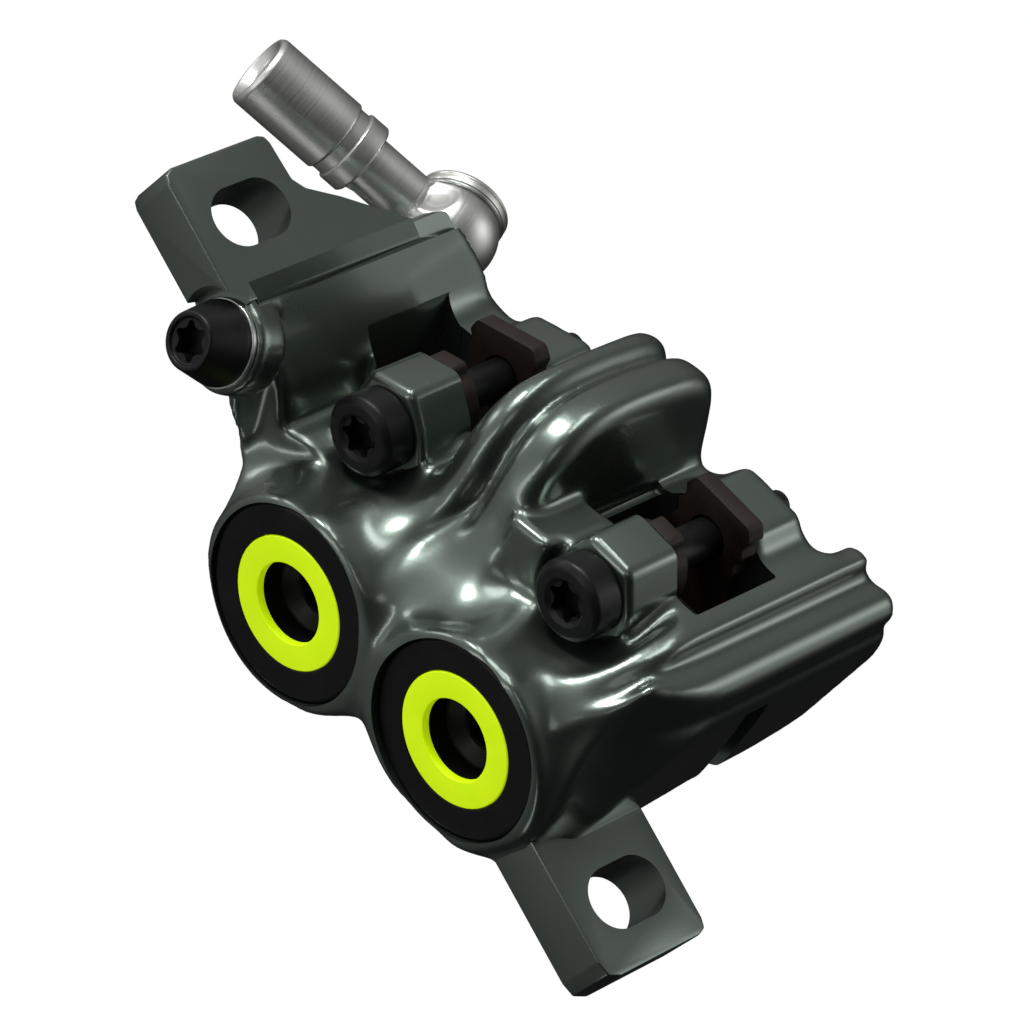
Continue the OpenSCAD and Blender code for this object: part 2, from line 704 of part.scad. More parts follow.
// Banjo fitting: eye with stem and collar, hose sleeve, barbed insert, bolt and two washers.
module banjo_eye() {
  color([0.7, 0.7, 0.68])
  difference() {
    union() {
      banjo_frame() rotate([-90, 0, 0]) rotate_extrude() intersection() {
        circle(r = eye_r);
        translate([0, -eye_down]) square([eye_r + 1, eye_down + eye_up]);
      }
      stem_frame() {
        translate([0, 0, eye_r - 2]) cylinder(r = stem_r, h = collar_z - eye_r + 2.6);
        translate([0, 0, collar_z]) cylinder(r = sleeve_r, h = collar_len + 0.1);
        translate([0, 0, collar_z + collar_len]) cylinder(r = sleeve_r - 0.3, h = neck_len);
      }
    }
    banjo_frame() {
      bar_y(bolt_r + fit, -eye_r - 1, eye_r + 1);
      bar_y(bolt_head_r + 0.2, eye_up, eye_r + 3);
    }
    stem_frame() translate([0, 0, -0.1]) cylinder(r = 1.2, h = stem_len);
  }
}
module banjo_bolt() {
  color([0.72, 0.72, 0.7])
  banjo_frame() difference() {
    union() {
      bar_y(bolt_head_r, eye_up + washer_t * 0.5 + 0.04, eye_up + 1.4);
      cone_y(bolt_head_r, bolt_head_r - 0.4, eye_up + 1.39, eye_up + 1.8);
      bar_y(bolt_r, -eye_down - washer_t - 5.8, eye_up + 1);
    }
    bar_y(1.2, -eye_down - washer_t - 7, -1);
    rotate([0, 30, 0]) rod([-4, 0, 0], [4, 0, 0], 0.9);
    six_lobe(2.1, eye_up - 0.6, eye_up + 3);
  }
}
module banjo_washer_head() {
  color([0.75, 0.72, 0.66])
  banjo_frame() tube_y(bolt_r + fit, bolt_head_r, eye_up + 0.02, eye_up + washer_t * 0.5 + 0.02);
}
module banjo_washer_seat() {
  color([0.75, 0.72, 0.66])
  banjo_frame() tube_y(bolt_r + fit, bolt_head_r - 0.5, -eye_down - washer_t + 0.02, -eye_down - 0.02);
}
module hose_sleeve() {
  color([0.6, 0.6, 0.58])
  stem_frame() translate([0, 0, stem_len - sleeve_len + 0.04]) difference() {
    union() {
      cylinder(r = sleeve_r, h = sleeve_len - 0.4);
      translate([0, 0, sleeve_len - 0.41]) cylinder(r1 = sleeve_r, r2 = sleeve_r - 0.3, h = 0.37);
    }
    translate([0, 0, -1]) cylinder(r = seat_r, h = sleeve_len);
    translate([0, 0, sleeve_len - mouth_len]) cylinder(r = hose_r, h = mouth_len + 1);
    translate([0, 0, sleeve_len - 1]) cylinder(r1 = hose_r, r2 = hose_r + 0.9, h = 1.2);
  }
}
module hose_insert() {
  color([0.7, 0.6, 0.35])
  stem_frame() translate([0, 0, stem_len - sleeve_len + 0.06]) difference() {
    union() {
      cylinder(r = seat_r - fit, h = 0.8);
      cylinder(r = insert_r - 0.3, h = insert_len);
      for (i = [1 : 2]) {
        translate([0, 0, insert_len * 0.33 * i]) cylinder(r1 = insert_r, r2 = insert_r - 0.3, h = insert_len * 0.3);
      }
    }
    translate([0, 0, -1]) cylinder(r = insert_r * 0.47, h = sleeve_len);
  }
}

caliper_body();
bore_cap_upper();
bore_cap_lower();
cap_ring_upper();
cap_ring_lower();
cap_seals();
piston_out_upper();
piston_out_lower();
piston_in_upper();
piston_in_lower();
magnet_out_upper();
magnet_out_lower();
magnet_in_upper();
magnet_in_lower();
piston_seals();
plate_out_upper();
plate_out_lower();
plate_in_upper();
plate_in_lower();
lining_out_upper();
lining_out_lower();
lining_in_upper();
lining_in_lower();
pad_screw_upper();
pad_screw_lower();
bleed_screw();
bleed_seal();
banjo_eye();
banjo_bolt();
banjo_washer_head();
banjo_washer_seat();
hose_sleeve();
hose_insert();
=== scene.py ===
import math

import bmesh
import bpy
import numpy as np
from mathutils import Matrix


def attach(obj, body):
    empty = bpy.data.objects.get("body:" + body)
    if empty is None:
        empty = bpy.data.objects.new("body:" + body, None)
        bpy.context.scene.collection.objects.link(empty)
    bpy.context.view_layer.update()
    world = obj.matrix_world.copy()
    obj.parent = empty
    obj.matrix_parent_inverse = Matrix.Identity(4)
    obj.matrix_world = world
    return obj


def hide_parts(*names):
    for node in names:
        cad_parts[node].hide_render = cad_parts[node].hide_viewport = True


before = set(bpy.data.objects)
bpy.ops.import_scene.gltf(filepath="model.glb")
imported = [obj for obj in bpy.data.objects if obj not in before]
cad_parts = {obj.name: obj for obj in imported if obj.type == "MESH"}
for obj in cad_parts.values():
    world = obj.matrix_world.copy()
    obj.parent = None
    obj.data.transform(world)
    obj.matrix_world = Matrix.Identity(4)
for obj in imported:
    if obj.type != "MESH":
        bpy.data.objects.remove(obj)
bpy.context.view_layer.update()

import openvdb
from mathutils import Matrix, Vector

# Camera and studio. A long lens looks down on the caliper from in front of the bore caps. One strong soft box
# and its tail make the long streaks on the forging, and four weaker ones and a soft sky fill the rest.
camera = bpy.data.objects.new("camera", bpy.data.cameras.new("camera"))
camera.data.sensor_width = 36
camera.data.lens = 224.14
camera.data.clip_end = 20
across = Vector((0.48237, 0.68882, 0.54115))
down = Vector((0.87036, -0.30711, -0.38491))
ahead = Vector((-0.09894, 0.65667, -0.74766))
camera.matrix_world = (Matrix.Translation((0.061092, -0.394538, 0.467537))
                       @ Matrix((across, -down, -ahead)).transposed().to_4x4())
bpy.context.scene.collection.objects.link(camera)
bpy.context.scene.camera = camera
bpy.context.scene.view_settings.view_transform = "Standard"


def toward(azimuth, elevation):
    """The direction at an angle round from +X and an angle up from the mounting plane, in degrees."""
    turn, rise = math.radians(azimuth), math.radians(elevation)
    return Vector((math.cos(turn) * math.cos(rise), math.sin(turn) * math.cos(rise), math.sin(rise)))


def soft_box(name, azimuth, elevation, wide, high, roll, glow):
    """A soft box 1 m away, with its size in degrees of sky and its brightness in watts a square metre."""
    lamp = bpy.data.objects.new(name, bpy.data.lights.new(name, "AREA"))
    lamp.data.shape = "RECTANGLE"
    lamp.data.size, lamp.data.size_y = math.radians(wide), math.radians(high)
    lamp.data.energy = glow * lamp.data.size * lamp.data.size_y
    place = toward(azimuth, elevation)
    lamp.matrix_world = (Matrix.Translation(place) @ place.to_track_quat("Z", "Y").to_matrix().to_4x4()
                         @ Matrix.Rotation(math.radians(roll), 4, "Z"))
    bpy.context.scene.collection.objects.link(lamp)


soft_box("key", -168, 31, 14, 14, 0, 80)
soft_box("key_tail", 173, 50, 34, 9, 35, 22)
soft_box("side_strip", -110, 8, 8, 46, 0, 9)
soft_box("low_left", -160, -8, 12, 12, 0, 14)
soft_box("rim_strip", -50, -20, 8, 36, 20, 5)
soft_box("front_fill", -92, 56, 18, 18, 0, 3)

# The sky is a sum of wide soft glows, each with its direction, tightness and strength.
studio = bpy.data.worlds.new("studio")
bpy.context.scene.world = studio
studio.use_nodes = True
sky = studio.node_tree


def sky_node(kind, operation, *terms):
    made = sky.nodes.new(kind)
    made.operation = operation
    for i, term in enumerate(terms):
        if isinstance(term, bpy.types.NodeSocket):
            sky.links.new(term, made.inputs[i])
        else:
            made.inputs[i].default_value = term
    return made.outputs["Value"]


look = sky.nodes.new("ShaderNodeTexCoord").outputs["Generated"]
light = 0.012
for azimuth, elevation, tightness, strength in ((-140, 5, 3.0, 0.52), (145, 30, 4.0, 0.34), (70, 62, 4.0, 0.12),
                                                (52, 34, 12.0, 0.9), (62, 42, 60.0, 1.6), (-100, -50, 5.0, 0.15),
                                                (170, -15, 6.0, 0.3)):
    facing = sky_node("ShaderNodeVectorMath", "DOT_PRODUCT", look, tuple(toward(azimuth, elevation)))
    lobe = sky_node("ShaderNodeMath", "POWER", sky_node("ShaderNodeMath", "MAXIMUM", facing, 0.0), tightness)
    light = sky_node("ShaderNodeMath", "MULTIPLY_ADD", lobe, strength, light)
sky.links.new(light, sky.nodes["Background"].inputs["Strength"])
sky.nodes["Background"].inputs["Color"].default_value = (1, 1, 1, 1)

# The backdrop is a white sheet just under the part. It glows by itself and lights nothing.
FLOOR_LEVEL = -0.021
floor_mesh = bmesh.new()
bmesh.ops.create_grid(floor_mesh, x_segments=8, y_segments=8, size=6,
                      matrix=Matrix.Translation((0, 0, FLOOR_LEVEL)))
floor = bpy.data.objects.new("floor", bpy.data.meshes.new("floor"))
floor_mesh.to_mesh(floor.data)
bpy.context.scene.collection.objects.link(floor)
paper = bpy.data.materials.new("paper")
paper.use_nodes = True
paper_shader = paper.node_tree.nodes["Principled BSDF"]
for socket, value in {"Base Color": (0, 0, 0, 1), "Specular IOR Level": 0, "Emission Color": (1, 1, 1, 1),
                      "Emission Strength": 1.0}.items():
    paper_shader.inputs[socket].default_value = value
floor.data.materials.append(paper)
floor.visible_glossy = floor.visible_diffuse = floor.visible_transmission = floor.visible_shadow = False


# Forged body: one die-forged aluminium block with two barrels, an arch over the rotor slot, an end bar and two
# mounting ears, anodised dark grey-green. Its plain forms are melted into one forging, then the machined cuts
# are made. Lengths are millimetres in the body's own frame: X along the bores' line, Y inboard, Z up the arch.
MM = Matrix.Scale(0.001, 4)
TILT = Matrix.Translation((7, 0, -1.5)) @ Matrix.Rotation(math.radians(-31), 4, "Y")
SIDES = (-1, 1)
HALF_SPACING = 11.6
FAN_ANGLE = 9.4
SCREW_HEIGHT = 15.8
BORE_RADIUS = 8.6
GROOVE_RADIUS = 9.85
CAP_THREAD_RADIUS = 10.25
WINDOW_HALF = 7.6
WINDOW = (9.75, 21.25)
ROTOR_RADIUS = 81.5
ROTOR_SLOT = (13.9, 17.1)
MOUNT_HALF = 37.1
SLOT_RADIUS, SLOT_STRAIGHT = 3.15, 1.55
EAR_TOP = 6.2


def bore(side):
    """The place of a bore: the upper one has side -1 and the lower one side 1."""
    return Matrix.Translation((side * HALF_SPACING, 0, 0))


def fan(side):
    """A bore's place turned outwards, as the pads and their windows stand."""
    return bore(side) @ Matrix.Rotation(math.radians(side * FAN_ANGLE), 4, "Y")


def prism(outline, low, high, along="y", soft=0.0, steps=3):
    """A flat outline drawn out along an axis, with soft edges where asked."""
    bm = bmesh.new()
    place = {"x": lambda u, v: (low, u, v), "y": lambda u, v: (u, low, v), "z": lambda u, v: (u, v, low)}[along]
    face = bm.faces.new([bm.verts.new(place(u, v)) for u, v in outline])
    new = bmesh.ops.extrude_face_region(bm, geom=[face])["geom"]
    step = {"x": (high - low, 0, 0), "y": (0, high - low, 0), "z": (0, 0, high - low)}[along]
    bmesh.ops.translate(bm, verts=[v for v in new if isinstance(v, bmesh.types.BMVert)], vec=step)
    bmesh.ops.recalc_face_normals(bm, faces=bm.faces)
    if soft:
        bmesh.ops.bevel(bm, geom=bm.edges, offset=soft, offset_type="OFFSET", segments=steps, profile=0.5,
                        affect="EDGES", material=-1, clamp_overlap=True)
    return bm


def round_bar(first, last, low, high, place=Matrix(), segments=96):
    """A bar or cone along Y, with its radius at the low and the high end."""
    bm = bmesh.new()
    stand = Matrix.Translation((0, (low + high) / 2, 0)) @ Matrix.Rotation(math.radians(-90), 4, "X")
    bmesh.ops.create_cone(bm, cap_ends=True, segments=segments, radius1=first, radius2=last,
                          depth=high - low, matrix=place @ stand)
    return bm


class Die:
    """The room in which plain forms are melted into each other, as distances on a fine lattice."""

    def __init__(self, voxel, low, high):
        self.voxel = voxel
        self.low = tuple(int(n) for n in np.array(low) // voxel)
        self.size = tuple(int(n) for n in (np.array(high) - low) // voxel)
        self.lattice = openvdb.createLinearTransform(voxel)

    def clay(self, bm, place=Matrix()):
        bmesh.ops.triangulate(bm, faces=bm.faces)
        points = np.array([place @ v.co for v in bm.verts], np.float32)
        faces = np.array([[v.index for v in f.verts] for f in bm.faces], np.uint32)
        grid = openvdb.FloatGrid.createLevelSetFromPolygons(points, triangles=faces, transform=self.lattice,
                                                            halfWidth=5 / self.voxel)
        field = np.empty(self.size, np.float32)
        grid.copyToArray(field, ijk=self.low)
        bm.free()
        return field

    def cast(self, name, field):
        grid = openvdb.FloatGrid(5.0)
        grid.transform = self.lattice
        grid.copyFromArray(field, ijk=self.low)
        points, triangles, quads = grid.convertToPolygons(0.0, 0.0)
        mesh = bpy.data.meshes.new(name)
        mesh.from_pydata(points.tolist(), [], triangles[:, ::-1].tolist() + quads[:, ::-1].tolist())
        made = bpy.data.objects.new(name, mesh)
        bpy.context.scene.collection.objects.link(made)
        return made


def melt(a, b, flow):
    """Joins two fields, with a fillet as wide as the flow."""
    mix = np.clip(0.5 + 0.5 * (b - a) / flow, 0, 1)
    return b * (1 - mix) + a * mix - flow * mix * (1 - mix)


def carve(a, b, flow):
    """Takes the second field's form out of the first's, with a soft rim."""
    return -melt(-a, b, flow)


def soften(field, times):
    for _ in range(times):
        for axis in range(3):
            field = 0.5 * field + 0.25 * (np.roll(field, 1, axis) + np.roll(field, -1, axis))
    return field


forge = Die(0.38, (-47, -12, -23), (39, 38, 39))
clay = forge.clay
X, Y, Z = np.meshgrid(*((forge.low[i] + np.arange(forge.size[i], dtype=np.float32)) * forge.voxel
                        for i in range(3)), indexing="ij", sparse=True)


def flowing(points, times=3):
    """Rounds a whole outline by cutting its corners again and again."""
    points = np.array(points, float)
    for _ in range(times):
        after = np.roll(points, -1, 0)
        points = np.stack((0.75 * points + 0.25 * after, 0.25 * points + 0.75 * after), 1).reshape(-1, 2)
    return points.tolist()


def ease(values, start, end):
    part = np.clip((values - start) / (end - start), 0, 1)
    return part * part * (3 - 2 * part)


def stroke(field, height, reach, points):
    """Raises a soft ridge, or sinks a groove with a height below zero, along a line of points on the forging.
    A point's fourth number is its share of the height."""
    push = np.zeros(field.shape, np.float32)
    for first, last in zip(points, points[1:]):
        ends = np.array([first[:3], last[:3]])
        low = np.clip(((ends.min(0) - 3 * reach) / forge.voxel).astype(int) - forge.low, 0, None)
        high = ((ends.max(0) + 3 * reach) / forge.voxel).astype(int) - forge.low + 1
        near = tuple(slice(a, b) for a, b in zip(low, high))
        arm = [axis - start for axis, start in zip((X[near[0]], Y[:, near[1]], Z[:, :, near[2]]), first)]
        way = ends[1] - ends[0]
        t = np.clip(sum(a * w for a, w in zip(arm, way)) / (way @ way), 0, 1)
        gap = sum((a - t * w) ** 2 for a, w in zip(arm, way))
        share = first[3] + t * (last[3] - first[3])
        push[near] = np.maximum(push[near], share * np.exp(-gap / reach ** 2))
    return field - height * push


barrels = np.minimum(*(clay(round_bar(11, 11, -8.4, 32.6, bore(side))) for side in SIDES))
caps_in = np.minimum(*(clay(round_bar(10.6, 8.8, 31, 34, bore(side))) for side in SIDES))
web = clay(prism(flowing([(-8, -8.4), (-4.4, -8), (-1.4, -5.9), (1.4, -5.9), (4.4, -8), (8, -8.4), (8, 6.5),
                          (2.5, 2.6), (-2.5, 2.6), (-8, 6.5)]), -7.6, 12))
web_in = clay(prism([(-8, -8), (8, -8), (8, 9), (-8, 9)], 11, 32))
shoulders = np.maximum(
    clay(prism(flowing([(-20.6, -2), (-14, -6), (-7, -6.6), (-3, -6.2), (3, -6.2), (7, -6.6), (14, -6.5),
                        (18.5, -6.5), (21.4, -5.4), (23.8, -3.6), (24.5, 8), (22.4, 14.2), (20.5, 15.2),
                        (20.5, 15.2), (-20.5, 15.2), (-24.4, 16.9), (-24.4, 16.9), (-26.4, 15.5),
                        (-25.2, 8), (-21.8, 2)], 2), -7.4, 32.5)),
    clay(prism(flowing([(-7.4, -8), (-6.2, 4), (-3.5, 8.4), (0, 10.4), (4, 12.4), (8, 15), (12, 16.4),
                        (27.2, 16.8), (29.5, 11.5), (32.4, 6), (32.4, -8), (15.5, -20)], 2), -40, 40, "x")))
forging = melt(melt(barrels, caps_in, 0.6), np.minimum(web, web_in), 3.0)
forging = melt(forging, shoulders, 3.5)

# The arch runs up from the web between the barrels as two ridges with a groove, and over the rotor slot. Its
# left ridge turns out onto the upper barrel at the foot, and its right edge drops straight to the window.
arch_side = clay(prism([(-8.6, 0), (-8, 12), (-6.4, 16.5), (-5.4, 21), (-4.9, 24.6), (-3.4, 27.3), (4.5, 27.3),
                        (4.9, 24.5), (5.1, 19), (5.5, 14), (8.6, 9), (8.6, 0)], -5, 31))
arch_line = clay(prism(flowing([(-8, 0), (-7.9, 2.8), (-6.4, 5), (-3.8, 7.2), (-1.2, 9.8), (0.8, 12.6),
                                (1.9, 15.6), (2.7, 18.6), (3.9, 21.6), (6, 24.2), (9.2, 26.1), (13.5, 26.9),
                                (20, 26.8), (25.8, 26.1), (28.2, 24), (29, 19), (29.6, 8), (29.6, 0)]),
                       -12, 12, "x"))
spread = X + 2.4 * np.clip((20 - Z) / 9, 0, 1) ** 2 * np.clip((1 - X) / 3, 0, 1)
hollow = (1.5 * np.exp(-((spread + 0.8) / 0.95) ** 2) * ease(Z, 7, 15)
          + 0.14 * np.clip(-2.6 - spread, 0, None) ** 2
          + 0.5 * np.clip(spread - 3.4, 0, None) ** 2 * ease(Z, 8, 15))
arch = np.maximum(arch_side, arch_line + hollow.astype(np.float32))
forging = melt(forging, arch, 1.2 + 3.8 * (1 - ease(Y, 0, 8)) * (1 - ease(Z, 13, 20)))

# The end bar joins the lower ends of both barrels past the rotor. It is what three outlines have in common.
end_bar = np.maximum(np.maximum(
    clay(prism(flowing([(12, -10.2), (20.9, -10.8), (24.1, -5.5), (27.2, 3), (28.2, 7.6), (28.4, 10.6),
                        (27.2, 12.2), (25.8, 12.6), (24.9, 13.4), (24.2, 15), (22.4, 15), (21.4, 14.6),
                        (20.6, 12), (14, 6)], 2), -8, 34.5)),
    clay(prism(flowing([(8, -7), (14, -7.8), (18.5, -7.2), (22.6, -4.2), (26, 0.6), (28, 6), (28.4, 12), (28.4, 33.4),
                        (28.4, 33.4), (26, 33.8), (21.4, 33.2), (21.4, 33.2), (20.6, 28), (8, 27.7)], 2), -20, 40, "z"))),
    clay(prism(flowing([(-8, -30), (6.4, -30), (8, -5.2), (20, -4.6), (25, -3.2), (27.6, -2.2), (29, -0.4),
                        (32.2, 3.4), (34.3, 5.4), (34.3, 10), (32.9, 13), (32.3, 16), (7, 15.2), (2, 13.8),
                        (-2, 11.2), (-5.4, 7.8), (-7.6, 2)], 2), -40, 40, "x")))
forging = melt(forging, end_bar, 2.2)

# The block at the upper end carries the bleed screw in front and the banjo fitting behind.
block = np.maximum(
    clay(prism(flowing([(-31.6, 21.2), (-28.6, 17), (-26.4, 10), (-23.4, 1.5), (-19, -4), (-12, -4), (-12, 9),
                        (-19.5, 11.6), (-22.8, 14.4), (-22.8, 14.4), (-27.7, 26), (-27.7, 26),
                        (-29.5, 25), (-29.5, 25)], 2), -6.8, 30)),
    clay(prism(flowing([(-40, -6), (-40, -6), (-27.4, -5.6), (-26.2, -5), (-25, -3), (-24.4, -2.6),
                        (-20.5, -2.2), (-15, 0.5), (-12, 2), (-12, 27), (-24.4, 27.6), (-26.3, 25.4),
                        (-30, 20), (-40, 20), (-40, 20)], 2), -20, 40, "z")))
forging = melt(forging, block, 1.5)

# A pocket beside the upper pad screw, so that its head can be reached, a step between the arch and the lower
# lug, and the lugs that hold the pad screws in front of and behind each window.
AT_SCREW = {side: fan(side) @ Matrix.Translation((0, 0, SCREW_HEIGHT)) for side in SIDES}
pocket = np.maximum(clay(round_bar(8.8, 8.8, -12, 9.9, AT_SCREW[-1])), np.maximum(11.8 - Z, X + 18))
forging = carve(forging, pocket.astype(np.float32), 0.5)
step = clay(prism([(4, 10), (4, 18.2), (9.6, 18.2), (11, 14), (11, 10)], 1.2, 9.9))
forging = melt(forging, step, 1.2)

for side in SIDES:
    front_lug = clay(prism([(-7.4, 7), (-5.5, 13.5), (-4.5, 16.6), (-3, 19), (3, 19), (4.5, 16.6), (5.5, 13.5),
                            (7.4, 7)], 2.8, 9.9, soft=0.5), fan(side))
    back_lug = clay(prism([(-7.2, 8), (-6, 14.6), (-4.8, 16.8), (-3.6, 18.5), (3.6, 18.5), (4.8, 16.8), (6, 14.6),
                           (7.2, 8)], 21.1, 28, soft=0.4), fan(side))
    forging = melt(forging, np.minimum(front_lug, back_lug), 1.8)
    forging = carve(forging, clay(round_bar(5.1, 5.1, -12, 3, AT_SCREW[side])), 1.0)

# The seats of the bleed screw and of the banjo fitting.
BLEED = (Matrix.Translation((-27.6, -7.3, 20.3)) @ Matrix.Rotation(math.radians(-5), 4, "Z")
         @ Matrix.Rotation(math.radians(-20), 4, "X"))
BANJO = (Matrix.Translation((-31.5, 27.8, 18.6)) @ Matrix.Rotation(math.radians(23.6), 4, "Z")
         @ Matrix.Rotation(math.radians(16.8), 4, "X"))
forging = melt(forging, clay(round_bar(5, 5, 0, 4, BLEED)), 0.6)
seat = np.maximum(clay(round_bar(5.6, 5.6, -11.7, -4.2, BANJO)),
                  clay(prism([(-45, 27), (-28.7, 27), (-24.4, 16.9), (-24.4, 0), (-45, 0)], 8, 34)))
forging = soften(melt(forging, seat, 1.0), 2)

# Two grooves along the end bar leave a crest on each side.
forging = stroke(forging, -0.9, 1.1, [(21.6, -3.8, 10.0, 0.1), (23.2, -1, 11.6, 0.9), (24.4, 3, 13, 1),
                                      (24.9, 9, 13.3, 1), (25.1, 34, 13.2, 1)])
forging = stroke(forging, -0.5, 0.9, [(25.4, -3, 6, 0.2), (27.4, 0.5, 7.4, 1), (28.2, 9, 8, 1),
                                      (28.2, 34, 8.6, 1)])

# The root of the lower ear, and the flat inboard face.
root = clay(prism([(19.5, -7.2), (30.5, -7.2), (30.5, 6.6), (19.5, 6.6)], 0, 5.6, "z"), TILT.inverted())
forging = melt(forging, root, 1.0)
forging = np.maximum(forging, Y - np.float32(33.97)).astype(np.float32)
body = forge.cast("forged_body", forging)


def cut_from(target, bm, place=Matrix(), operation="DIFFERENCE"):
    """Takes one machined cut out of a piece, or joins a form to it."""
    bmesh.ops.transform(bm, matrix=place, verts=bm.verts)
    bmesh.ops.recalc_face_normals(bm, faces=bm.faces)
    tool_mesh = bpy.data.meshes.new("tool")
    bm.to_mesh(tool_mesh)
    bm.free()
    tool = bpy.data.objects.new("tool", tool_mesh)
    bpy.context.scene.collection.objects.link(tool)
    cut = target.modifiers.new("cut", "BOOLEAN")
    cut.operation, cut.solver, cut.object = operation, "MANIFOLD", tool
    depsgraph = bpy.context.evaluated_depsgraph_get()
    done = bpy.data.meshes.new_from_object(target.evaluated_get(depsgraph))
    target.modifiers.clear()
    old, target.data = target.data, done
    bpy.data.meshes.remove(old)
    bpy.data.objects.remove(tool)


def polish(target, passes):
    """Takes the steps of the lattice off a cast piece."""
    smooth = target.modifiers.new("smooth", "SMOOTH")
    smooth.factor, smooth.iterations = 0.5, passes
    target.data = bpy.data.meshes.new_from_object(target.evaluated_get(bpy.context.evaluated_depsgraph_get()))
    target.modifiers.clear()


polish(body, 3)

# The ears lie square to the mounting bolts, and a band behind the upper one is milled free of the block.
UPPER_EAR = [(-29, -7.4), (-42.5, -7.4), (-43.4, -7.1), (-43.9, -6.2), (-43.9, 5.3), (-43.6, 6.1), (-42.8, 6.4),
             (-38.7, 6.6), (-37.4, 7.6), (-35.4, 11), (-30.8, 17.6), (-28.4, 19)]
LOWER_EAR = [(28.5, -7.4), (41.8, -7.4), (43.3, -7), (43.88, -5.6), (43.88, 5.4), (43.5, 6.4), (42.5, 6.7),
             (28.5, 6.7)]
for outline in (UPPER_EAR, LOWER_EAR):
    cut_from(body, prism(outline, 0, EAR_TOP, "z", 0.22), TILT.inverted(), "UNION")
cut_from(body, prism([(-30.8, 6.2), (-28.4, 4.2), (-28.1, 12), (-30.8, 12)], -4.6, 26), TILT.inverted())
for side in SIDES:
    cut_from(body, prism([(-6, 9), (-4.9, 16.6), (-2.8, 20.7), (2.8, 20.7), (4.9, 16.6), (6, 9)], 3.05, 11,
                         soft=0.9, steps=5), fan(side), "UNION")

# The machined cuts: the bores with their seal grooves, the pad windows, the pad screws' holes, the wider parts
# of the windows, the rotor slot, the seats and passages of the two fittings, and the mounting slots.
for side in SIDES:
    for radius, low, high in ((CAP_THREAD_RADIUS, -9.4, -2.2), (BORE_RADIUS, -2.3, 31.6),
                              (GROOVE_RADIUS, 4.45, 6.85), (GROOVE_RADIUS, 24.15, 26.55)):
        cut_from(body, round_bar(radius, radius, low, high), bore(side))
    cut_from(body, prism([(-WINDOW_HALF, -30), (WINDOW_HALF, -30), (WINDOW_HALF, 40), (-WINDOW_HALF, 40)],
                         *WINDOW, soft=0.4), fan(side))
    for radius, low, high in ((2.15, 2, 15.5), (2.05, 15.4, 29), (4.4, -7, 3)):
        cut_from(body, round_bar(radius, radius, low, high, segments=48), AT_SCREW[side])
cut_from(body, prism([(-20, 3), (-23.2, 4), (-24.4, 8), (-24.4, 40), (-16, 40), (-16, 3)], 9.9, 21.1))
cut_from(body, prism([(5.3, 30), (5.5, 14.5), (12, 14.5), (12, 30)], *WINDOW, soft=0.4))
cut_from(body, round_bar(ROTOR_RADIUS, ROTOR_RADIUS, *ROTOR_SLOT, Matrix.Translation((0, 0, -71)), 256))
for radius, low, high in ((5.4, -9, 0), (2.3, -1, 5)):
    cut_from(body, round_bar(radius, radius, low, high, segments=64), BLEED)
for radius, low, high in ((5.05, -4.2, -2.6), (3.0, -10.6, 0)):
    cut_from(body, round_bar(radius, radius, low, high, segments=64), BANJO)
ball = bmesh.new()
bmesh.ops.create_uvsphere(ball, u_segments=64, v_segments=32, radius=5.5)
cut_from(body, ball, BANJO)
for side in SIDES:
    slot_shape = [(SLOT_RADIUS * math.cos(t) + side * MOUNT_HALF,
                   SLOT_RADIUS * math.sin(t) + math.copysign(SLOT_STRAIGHT, math.sin(t)))
                  for t in np.radians(np.arange(3, 360, 6))]
    cut_from(body, prism(slot_shape, -20, 60, "z"), TILT.inverted())


class Tap:
    """A shader socket that works in sums."""

    def __init__(self, finish, socket):
        self.finish, self.socket = finish, socket

    def maths(self, operation, *terms):
        return self.finish.node("ShaderNodeMath", {"operation": operation}, dict(enumerate(terms)))

    def __add__(self, other):
        return self.maths("ADD", self, other)

    def __sub__(self, other):
        return self.maths("SUBTRACT", self, other)

    def __mul__(self, other):
        return self.maths("MULTIPLY", self, other)

    def __rsub__(self, other):
        return self.maths("SUBTRACT", other, self)

    __radd__, __rmul__ = __add__, __mul__


